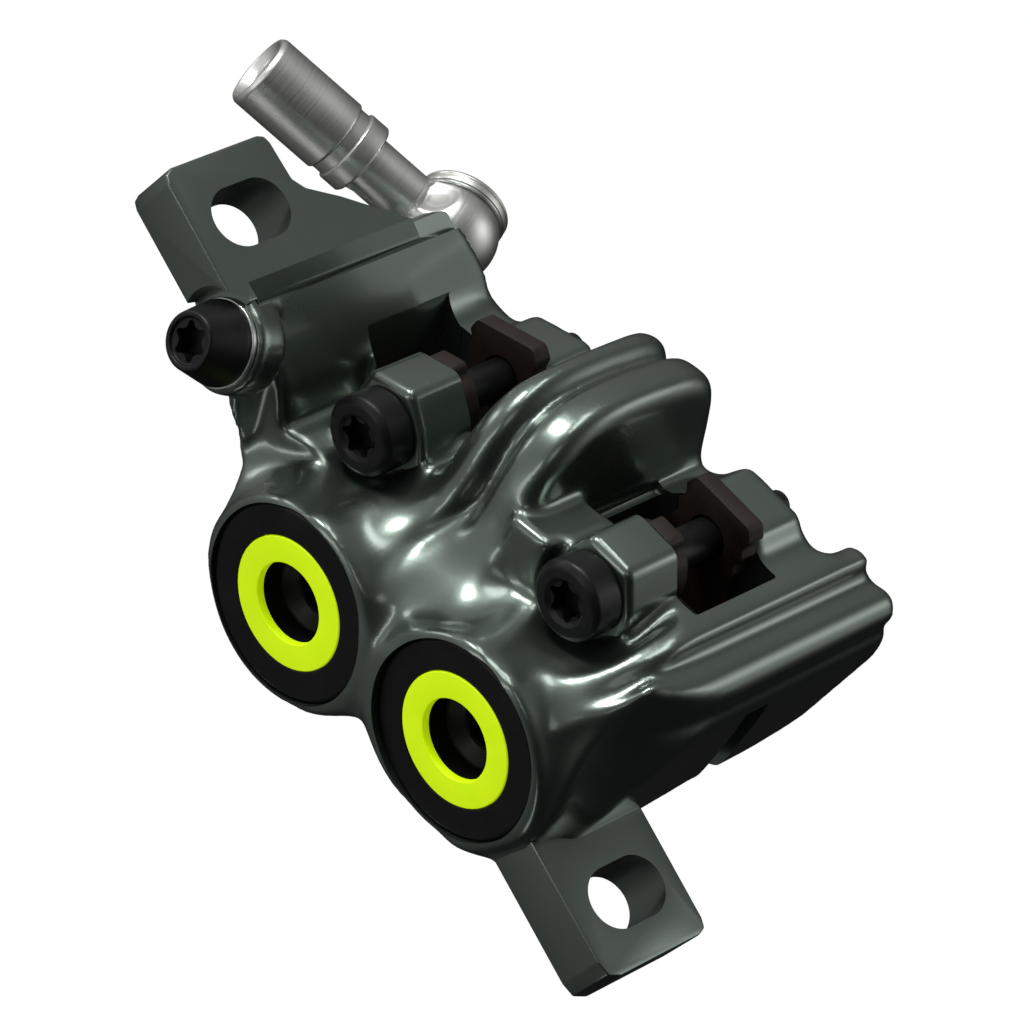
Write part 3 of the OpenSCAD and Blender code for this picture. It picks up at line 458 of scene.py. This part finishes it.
class Finish:
    """A surface finish: fixed values sit on the shader's own sockets, changing ones are wired to them."""

    def __init__(self, name, **fixed):
        self.material = bpy.data.materials.new(name)
        self.material.use_nodes = True
        self.tree = self.material.node_tree
        self.shader = self.tree.nodes["Principled BSDF"]
        for socket, value in fixed.items():
            self.shader.inputs[socket.replace("_", " ")].default_value = value
        self.here = self.node("ShaderNodeTexCoord", out="Object")

    def node(self, kind, settings=(), sockets=(), out=0):
        made = self.tree.nodes.new(kind)
        for key, value in dict(settings).items():
            if key == "stops":
                while len(made.color_ramp.elements) < len(value):
                    made.color_ramp.elements.new(0.5)
                for element, (place, colour) in zip(made.color_ramp.elements, value):
                    element.position, element.color = place, (*colour, 1)
            else:
                setattr(made, key, value)
        for key, value in dict(sockets).items():
            if isinstance(value, Tap):
                self.tree.links.new(value.socket, made.inputs[key])
            else:
                made.inputs[key].default_value = value
        return Tap(self, made.outputs[out])

    def noise(self, scale, detail=2.0, stretch=(1, 1, 1)):
        """A noise whose grain is given in turns per metre, drawn out along an axis where asked."""
        spread = self.node("ShaderNodeVectorMath", {"operation": "MULTIPLY"}, {0: self.here, 1: stretch})
        return self.node("ShaderNodeTexNoise", {}, {"Vector": spread, "Scale": scale, "Detail": detail}, "Fac")

    def shade(self, amount, *stops):
        return self.node("ShaderNodeValToRGB", {"stops": stops}, {"Fac": amount}, "Color")

    def relief(self, height, depth, strength=1.0):
        return self.node("ShaderNodeBump", {}, {"Height": height, "Strength": strength, "Distance": depth}, "Normal")

    def wire(self, **links):
        for socket, tap in links.items():
            self.tree.links.new(tap.socket, self.shader.inputs[socket.replace("_", " ")])

    def dress(self, *things):
        for thing in things:
            thing.data.materials.clear()
            thing.data.materials.append(self.material)


forged = Finish("forged_gloss", Metallic=0.9, Specular_IOR_Level=0.5, Coat_Weight=0.6, Coat_Roughness=0.12)
cloud = forged.noise(60.0, 3.0)
forged.wire(Base_Color=forged.shade(cloud, (0.3, (0.125, 0.155, 0.134)), (0.7, (0.150, 0.184, 0.160))),
            Roughness=0.24 + 0.08 * cloud, Normal=forged.relief(forged.noise(2600.0), 0.0001, 0.05))
forged.dress(body)

body.data.transform(MM @ TILT)
body.data.shade_smooth()
body.data.set_sharp_from_angle(angle=math.radians(38))
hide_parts("caliper_body")
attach(body, "caliper")


# Bore caps: threaded plugs turned from aluminium and anodised black, screwed into the outboard ends of the
# two bores. Each face has a shallow seat for its coloured ring, and a hexagon at the bottom of its bore.
def rounded(points, steps=5):
    """Rounds an outline: a point's third number is how far from the corner the round starts."""
    outline = []
    for i, point in enumerate(points):
        corner, reach = Vector(point[:2]), (*point, 0)[2]
        sides = [Vector(points[k][:2]) - corner for k in (i - 1, (i + 1) % len(points))]
        first, last = (corner + side.normalized() * min(reach, side.length * 0.49) for side in sides)
        for t in (k / steps for k in range(steps + 1 if reach else 1)):
            outline.append(tuple(first * (1 - t) ** 2 + corner * 2 * t * (1 - t) + last * t ** 2))
    return outline


def turned(points, place=Matrix(), steps=96):
    """Turns a closed outline of (radius, y) round the Y axis."""
    bm = bmesh.new()
    ring = [bm.verts.new((r, y, 0)) for r, y in rounded(points)]
    rim = [bm.edges.new(pair) for pair in zip(ring, ring[1:] + ring[:1]) if max(v.co.x for v in pair) > 1e-6]
    bmesh.ops.spin(bm, geom=ring + rim, cent=(0, 0, 0), axis=(0, 1, 0), dvec=(0, 0, 0), angle=math.tau,
                   steps=steps, use_merge=True, use_duplicate=False)
    bmesh.ops.remove_doubles(bm, verts=bm.verts, dist=1e-5)
    bmesh.ops.recalc_face_normals(bm, faces=bm.faces)
    bmesh.ops.transform(bm, matrix=place, verts=bm.verts)
    return bm


def piece_of(name, bm):
    piece = bpy.data.objects.new(name, bpy.data.meshes.new(name))
    bm.to_mesh(piece.data)
    bm.free()
    bpy.context.scene.collection.objects.link(piece)
    return piece


def settle(piece, finish, slot, body, *nodes, sharp=35):
    """Sets a piece drawn in the body's millimetres in its place, with its finish and its CAD nodes."""
    piece.data.transform(MM @ TILT)
    piece.data.shade_smooth()
    piece.data.set_sharp_from_angle(angle=math.radians(sharp))
    finish.dress(piece)
    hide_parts(*nodes)
    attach(piece, body)


def hexagon(across, turn=0.0):
    return [(across / math.sqrt(3) * math.cos(math.radians(60 * k + turn)),
             across / math.sqrt(3) * math.sin(math.radians(60 * k + turn))) for k in range(6)]


def turning_marks(finish, scale, axis=(0, 1, 0), point=(0, 0, 0)):
    """Fine rings left by the lathe tool round an axis, as a height."""
    offset = finish.node("ShaderNodeVectorMath", {"operation": "SUBTRACT"}, {0: finish.here, 1: point})
    arm = finish.node("ShaderNodeVectorMath", {"operation": "CROSS_PRODUCT"}, {0: offset, 1: axis})
    radius = finish.node("ShaderNodeVectorMath", {"operation": "LENGTH"}, {0: arm}, "Value")
    along = finish.node("ShaderNodeVectorMath", {"operation": "DOT_PRODUCT"}, {0: offset, 1: axis}, "Value")
    return finish.node("ShaderNodeTexNoise", {"noise_dimensions": "1D"},
                       {"W": (radius + along) * scale, "Scale": 1.0, "Detail": 3.0}, "Fac")


ENDS = {-1: "upper", 1: "lower"}
for side in SIDES:
    centre = MM @ TILT @ bore(side).translation
    black = Finish("cap_black_" + ENDS[side], Specular_IOR_Level=0.2)
    marks = turning_marks(black, 9000.0, point=tuple(centre))
    blotch = black.noise(300.0)
    black.wire(Base_Color=black.shade(blotch, (0.3, (0.003, 0.003, 0.0035)), (0.7, (0.007, 0.007, 0.0075))),
               Roughness=0.34 + 0.12 * blotch, Normal=black.relief(marks, 0.00003, 0.35))
    cap = piece_of("cap_" + ENDS[side], turned(
        [(0, -4.05), (2.6, -4.05), (4.2, -4.9, 0.3), (4.2, -7.32, 0.08), (6.94, -7.32, 0.06), (6.94, -8.12, 0.05),
         (7.06, -8.2, 0.05), (9.85, -8.2, 0.1), (10.2, -7.9, 0.12), (10.2, -4, 0.15), (8.65, -4, 0.1),
         (8.65, -2.2, 0.3), (0, -2.2)], bore(side), 160))
    cut_from(cap, prism(hexagon(4.2), -5, -3.1), bore(side))
    settle(cap, black, "black_cap", "caliper", "bore_cap_" + ENDS[side], sharp=25)


# Cap rings: bright yellow-green plastic rings pressed into the seats of the bore caps. The moulded face is
# almost flat, with a faint orange peel and rounded edges.
# The rings carry a painted glow: their lime colour is wired to the emission as well, at strength 0.4, so they shine
# though they are no lamp.
neon = Finish("neon_ring", Specular_IOR_Level=0.4, Roughness=0.5, Emission_Strength=0.4)
bloom = neon.noise(420.0, 3.0)
lime_and_painted_glow = neon.shade(bloom, (0.3, (0.66, 0.98, 0.0)), (0.7, (0.72, 1.0, 0.003)))
neon.wire(Base_Color=lime_and_painted_glow, Emission_Color=lime_and_painted_glow, Roughness=0.42 + 0.15 * bloom,
          Normal=neon.relief(neon.noise(3500.0), 0.00004, 0.25))
for side in SIDES:
    ring = piece_of("ring_" + ENDS[side], turned(
        [(4.2, -7.31, 0.05), (4.2, -8.22, 0.12), (6.88, -8.22, 0.12), (6.88, -7.31, 0.05)],
        bore(side), 160))
    settle(ring, neon, "neon_ring", "caliper", "cap_ring_" + ENDS[side])


# Seals: square rings of black rubber behind the bore caps and in the grooves round the pistons. They are
# moulded, dull and slightly dusty.
rubber = Finish("seal_rubber", Specular_IOR_Level=0.3)
dust = rubber.noise(900.0, 4.0)
rubber.wire(Base_Color=rubber.shade(dust, (0.35, (0.012, 0.012, 0.012)), (0.75, (0.03, 0.03, 0.029))),
            Roughness=0.7 + 0.15 * dust, Normal=rubber.relief(dust, 0.00005, 0.3))
rubber.dress(*(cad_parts[name] for name in ("cap_seals", "piston_seals")))


# Pistons and magnets: ground aluminium cups in the bores, each with a nickel-plated disc magnet in the face
# that holds the pad plate.
ground = Finish("piston_ground", Metallic=1.0)
scuff = ground.noise(700.0, 4.0, (1, 14, 1))
ground.wire(Base_Color=ground.shade(scuff, (0.3, (0.30, 0.30, 0.29)), (0.75, (0.46, 0.46, 0.44))),
            Roughness=0.3 + 0.2 * scuff, Normal=ground.relief(scuff, 0.00003, 0.2))
nickel = Finish("magnet_nickel", Metallic=1.0)
haze = nickel.noise(1200.0, 3.0)
nickel.wire(Base_Color=nickel.shade(haze, (0.3, (0.5, 0.49, 0.46)), (0.7, (0.64, 0.63, 0.6))),
            Roughness=0.16 + 0.14 * haze, Normal=nickel.relief(haze, 0.00002, 0.15))
ROWS = [(row, end) for row in ("out", "in") for end in ENDS.values()]
ground.dress(*(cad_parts[f"piston_{row}_{end}"] for row, end in ROWS))
nickel.dress(*(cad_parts[f"magnet_{row}_{end}"] for row, end in ROWS))


# Pad plates: steel backing plates with a brown baked coating. Each has a hanger with scalloped sides, and
# the pad screw passes through its hole.
coated = Finish("plate_coating", Specular_IOR_Level=0.4)
stain = coated.noise(260.0, 5.0)
pits = coated.noise(2400.0, 3.0)
coated.wire(Base_Color=coated.shade(0.75 * stain + 0.25 * pits, (0.35, (0.009, 0.0045, 0.003)),
                                    (0.6, (0.017, 0.009, 0.006)), (0.8, (0.03, 0.016, 0.011))),
            Roughness=0.45 + 0.2 * stain, Normal=coated.relief(pits, 0.00005, 0.4))
foot = [(5.8, -7.4, 0.3), (7.4, -5.4, 0.8), (7.4, 7.8, 1.0), (5.2, 10.2, 1.2), (4.05, 12.4, 0.6)]
hangers = {"out": foot + [(4.0, 14.2, 0.4), (4.0, 16.6, 0.6), (3.2, 18.7, 0.8), (1.9, 19.4, 0.5), (1.7, 20.6, 0.6)],
           "in": foot + [(3.9, 13.9, 0.3), (4.6, 14.8, 0.3), (4.0, 15.7, 0.3), (4.0, 16.2, 0.3), (4.6, 17, 0.3),
                         (4.1, 17.9, 0.3), (4.1, 18.4, 0.3), (4.5, 19.3, 0.3), (3.7, 20.6, 0.4)]}
for row, low in (("out", 10.0), ("in", 19.0)):
    plate_shape = rounded(hangers[row] + [(-point[0], *point[1:]) for point in reversed(hangers[row])], 3)
    for side in SIDES:
        plate = piece_of(f"plate_{row}_{ENDS[side]}", prism(plate_shape, low, low + 2, soft=0.14))
        cut_from(plate, round_bar(2.3, 2.3, low - 1, low + 3, Matrix.Translation((0, 0, SCREW_HEIGHT)), 48))
        plate.data.transform(fan(side))
        settle(plate, coated, "pad_plate", f"pad_{row}_{ENDS[side]}", f"plate_{row}_{ENDS[side]}")


# Pad linings: blocks of sintered friction material fixed to the plates, dark, with copper and grit specks.
sintered = Finish("sintered_lining", Specular_IOR_Level=0.3)
grit = sintered.noise(2600.0, 4.0)
specks = sintered.node("ShaderNodeTexVoronoi", {}, {"Vector": sintered.here, "Scale": 2200.0}, "Distance")
sintered.wire(Base_Color=sintered.shade(0.6 * grit + 0.5 * specks, (0.3, (0.09, 0.055, 0.032)),
                                        (0.42, (0.03, 0.027, 0.024)), (0.75, (0.016, 0.0155, 0.015))),
              Roughness=0.65 + 0.25 * grit, Normal=sintered.relief(grit, 0.00012, 0.6))
sintered.dress(*(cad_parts[f"lining_{row}_{end}"] for row, end in ROWS))


# Pad screws: black steel cap screws across the windows, with a six-lobe recess. Each holds two hangers and
# ends in a dog tip past the inboard lug.
def six_lobe(radius):
    """The standard six-lobe shape: small round lobes joined by wider hollows."""
    outline = []
    for degrees in range(0, 360, 3):
        turn = math.radians((degrees + 30) % 60 - 30)
        if abs(turn) < math.radians(10.5):
            reach = 0.8284 * math.cos(turn) + math.sqrt(0.1716 ** 2 - (0.8284 * math.sin(turn)) ** 2)
        else:
            turn = math.radians(30) - abs(turn)
            reach = 1.1377 * math.cos(turn) - math.sqrt(0.4153 ** 2 - (1.1377 * math.sin(turn)) ** 2)
        outline.append((radius * reach * math.cos(math.radians(degrees)),
                        radius * reach * math.sin(math.radians(degrees))))
    return outline


oxide = Finish("screw_oxide", Specular_IOR_Level=0.3)
mottle = oxide.noise(500.0, 4.0)
oxide.wire(Base_Color=oxide.shade(mottle, (0.3, (0.003, 0.003, 0.0035)), (0.7, (0.007, 0.007, 0.0075))),
           Roughness=0.32 + 0.16 * mottle, Normal=oxide.relief(oxide.noise(2600.0, 3.0), 0.00003, 0.3))
for side in SIDES:
    screw = piece_of("pad_screw_" + ENDS[side], turned(
        [(0, -0.8), (2.5, -0.8, 0.05), (3.5, -0.8, 0.25), (4.15, -0.25, 0.3), (4.15, 2.7, 0.1), (4.0, 2.95, 0.1),
         (2, 2.95, 0.1), (2, 28.3, 0.1), (1.4, 28.7, 0.1), (1.4, 29.6, 0.1), (1.1, 29.9, 0.1), (0, 29.9)]))
    cut_from(screw, prism(six_lobe(2.15), -2, 1.2))
    cut_from(screw, round_bar(2.55, 2.0, -0.85, -0.45))
    screw.data.transform(AT_SCREW[side])
    settle(screw, oxide, "black_screw", "screw_" + ENDS[side], "pad_screw_" + ENDS[side], sharp=25)


# Bleed screw: a black cone with a six-lobe recess inside a raised lip, screwed into the end of the block. A
# bare aluminium ring seals it.
bleed = piece_of("bleed_cone", turned(
    [(0, -4.62), (2.25, -4.62, 0.1), (2.4, -5, 0.12), (2.8, -5, 0.15), (2.95, -4.8, 0.1), (4.25, -1.05, 0.12),
     (4.25, -0.66, 0.1), (2.2, -0.66), (2.2, 4.8, 0.3), (0, 4.8)]))
cut_from(bleed, prism(six_lobe(2.05), -6, -2.6))
bleed.data.transform(BLEED)
settle(bleed, oxide, "black_screw", "bleed_valve", "bleed_screw", sharp=25)
bare = Finish("bare_ring", Metallic=1.0)
bare_haze = bare.noise(900.0, 3.0)
bare.wire(Base_Color=bare.shade(bare_haze, (0.3, (0.42, 0.44, 0.42)), (0.7, (0.6, 0.62, 0.6))),
          Roughness=0.25 + 0.15 * bare_haze, Normal=bare.relief(bare_haze, 0.00003, 0.2))
seal = piece_of("bleed_ring", turned(
    [(2.3, -0.61, 0.1), (4.45, -0.61, 0.18), (4.45, -0.03, 0.18), (2.3, -0.03, 0.1)], BLEED))
settle(seal, bare, "sealing_ring", "caliper", "bleed_seal")


# Banjo fitting: a turned steel eye on the block, clamped between two soft washers by a flanged bolt. Its stem
# is brazed into the eye and ends in a collar, and the sleeve that grips the hose is pushed on after it.
STEM = BANJO @ Matrix.Rotation(math.radians(120.4), 4, "Y") @ Matrix.Rotation(math.pi, 4, "X")
STEM_BAR = STEM @ Matrix.Rotation(math.pi / 2, 4, "X")
stem_axis = ((TILT @ STEM).to_3x3() @ Vector((0, 0, 1))).normalized()
bright = Finish("bright_steel", Metallic=1.0)
rings = turning_marks(bright, 5200.0, axis=tuple(stem_axis), point=tuple(MM @ TILT @ STEM.translation))
tarnish = bright.noise(170.0, 4.0)
bright.wire(Base_Color=bright.shade(0.7 * tarnish + 0.3 * rings, (0.25, (0.60, 0.60, 0.575)),
                                    (0.7, (0.86, 0.855, 0.83))),
            Roughness=0.3 + 0.16 * rings, Normal=bright.relief(rings, 0.00004, 0.3))

# The eye is a ball melted into its stem, with a shallow dimple, faced flat on both sides and drilled.
small = Die(0.13, (-15, -7, -7), (8, 7, 12))
eye_ball = bmesh.new()
bmesh.ops.create_uvsphere(eye_ball, u_segments=96, v_segments=48, radius=5.2)
eye_form = small.clay(eye_ball)
to_banjo = BANJO.inverted() @ STEM_BAR
eye_form = melt(eye_form, small.clay(round_bar(2.95, 2.95, 2.5, 11.9), to_banjo), 1.1)
dimple = bmesh.new()
bmesh.ops.create_uvsphere(dimple, u_segments=96, v_segments=48, radius=2.7)
facing = Vector((-0.293, 0.056, 0.954)).normalized()
flat = (Matrix.Translation(facing * 5.1) @ facing.to_track_quat("Z", "Y").to_matrix().to_4x4()
        @ Matrix.Diagonal((1, 0.75, 0.22, 1)))
eye_form = carve(eye_form, small.clay(dimple, flat), 0.22)
eye = small.cast("banjo_eye_ball", eye_form)
polish(eye, 3)
for low, high in ((2.6, 8), (-9, -3.6)):
    cut_from(eye, round_bar(8, 8, low, high))
cut_from(eye, turned([(0, 11.32), (3.8, 11.32), (4, 11.5, 0.1), (4, 13.5, 0.1), (3.85, 13.62), (3.7, 13.64),
                      (3.7, 14.9, 0.06), (0, 14.9)]), to_banjo, "UNION")
cut_from(eye, round_bar(1.2, 1.2, -0.1, 16, segments=32), to_banjo)
cut_from(eye, round_bar(3, 3, -8, 8, segments=64))
eye.data.transform(BANJO)
settle(eye, bright, "bright_steel", "fitting", "banjo_eye", sharp=30)

sleeve = piece_of("hose_sleeve_tube", turned(
    [(2.2, 14.96, 0.05), (3.85, 14.96, 0.05), (4, 15.12, 0.1), (4, 24.9, 0.15), (3.72, 25.34, 0.12),
     (3.4, 25.34, 0.12), (2.56, 24.4, 0.3), (2.56, 18.9), (2.2, 18.9)], STEM_BAR, 128))
settle(sleeve, bright, "bright_steel", "fitting", "hose_sleeve")

turned_brass = Finish("turned_brass", Metallic=1.0)
oxide_haze = turned_brass.noise(700.0, 3.0)
turned_brass.wire(Base_Color=turned_brass.shade(oxide_haze, (0.3, (0.42, 0.31, 0.12)), (0.7, (0.6, 0.46, 0.2))),
                  Roughness=0.25 + 0.15 * oxide_haze, Normal=turned_brass.relief(oxide_haze, 0.00003, 0.2))
turned_brass.dress(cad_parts["hose_insert"])

bolt = piece_of("banjo_bolt_turned", turned(
    [(0, 4.4), (4.5, 4.4, 0.1), (4.85, 4.05, 0.12), (4.85, 3.82, 0.05), (4.7, 3.74), (4.7, 3.66),
     (4.85, 3.58, 0.05), (4.85, 2.96, 0.12), (2.95, 2.96), (2.95, -9.7), (2.7, -10), (1.2, -10),
     (1.2, -1.2), (0, -0.8)], BANJO, 128))
cut_from(bolt, prism(six_lobe(2.2), 2.3, 6), BANJO)
settle(bolt, bright, "bright_steel", "caliper", "banjo_bolt", sharp=25)
for name, radius, low, high in (("head", 4.83, 2.63, 2.91), ("seat", 4.35, -4.17, -3.63)):
    washer = piece_of("washer_" + name, turned(
        [(3.01, low, 0.03), (3.01, high, 0.03), (radius, high, 0.08), (radius, low, 0.08)], BANJO))
    settle(washer, bare, "sealing_ring", "caliper", "banjo_washer_" + name)
